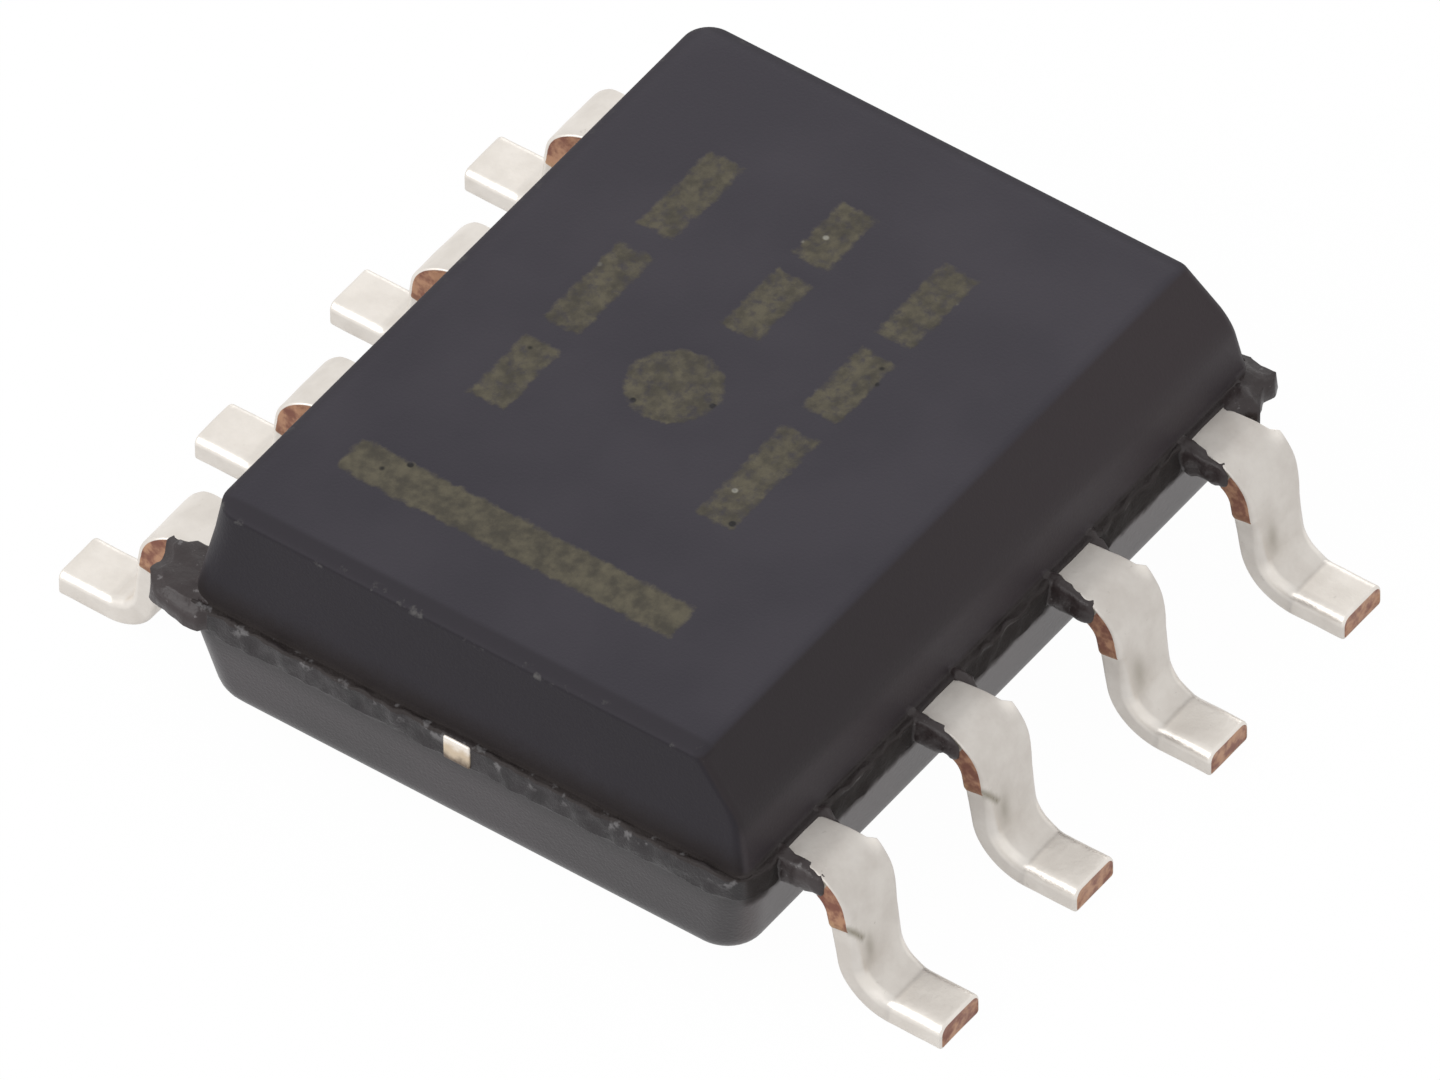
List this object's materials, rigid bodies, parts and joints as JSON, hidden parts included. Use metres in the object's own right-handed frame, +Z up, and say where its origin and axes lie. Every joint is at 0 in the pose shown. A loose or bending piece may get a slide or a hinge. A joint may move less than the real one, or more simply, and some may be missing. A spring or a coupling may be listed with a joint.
{
  "type": "driver chip",
  "caption": "Small-outline driver chip: a moulded black epoxy body, bevelled along the pin 1 side, with formed gull-wing leads down both long sides to solder to a board.",
  "frame": {"origin": "middle of the lead footprint, on the board surface that the feet stand on", "axes": "+X along the body from the pin 1 end to the pin 4 end, +Y across it from pins 1 to 4 towards pins 5 to 8, +Z up off the board"},
  "size_m": [0.005, 0.006, 0.0016],
  "materials": {
    "epoxy": "fine-grained matt mould compound",
    "tinned_copper": "matt tin plate over copper, bare at the sheared faces",
    "frame_copper": "bare stamped copper",
    "adhesive": "cured silver-filled paste",
    "silicon": "polished silicon",
    "bond_wire": "drawn fine wire"
  },
  "bodies": {
    "root": {"body": "epoxy", "lead_1": "tinned_copper", "lead_2": "tinned_copper", "lead_3": "tinned_copper", "lead_4": "tinned_copper", "lead_5": "tinned_copper", "lead_6": "tinned_copper", "lead_7": "tinned_copper", "lead_8": "tinned_copper", "die_pad": "frame_copper", "die_attach": "adhesive", "die": "silicon", "bond_wire_1": "bond_wire", "bond_wire_2": "bond_wire", "bond_wire_3": "bond_wire", "bond_wire_4": "bond_wire", "bond_wire_5": "bond_wire", "bond_wire_6": "bond_wire", "bond_wire_7": "bond_wire", "bond_wire_8": "bond_wire"}
  },
  "joints": []
}
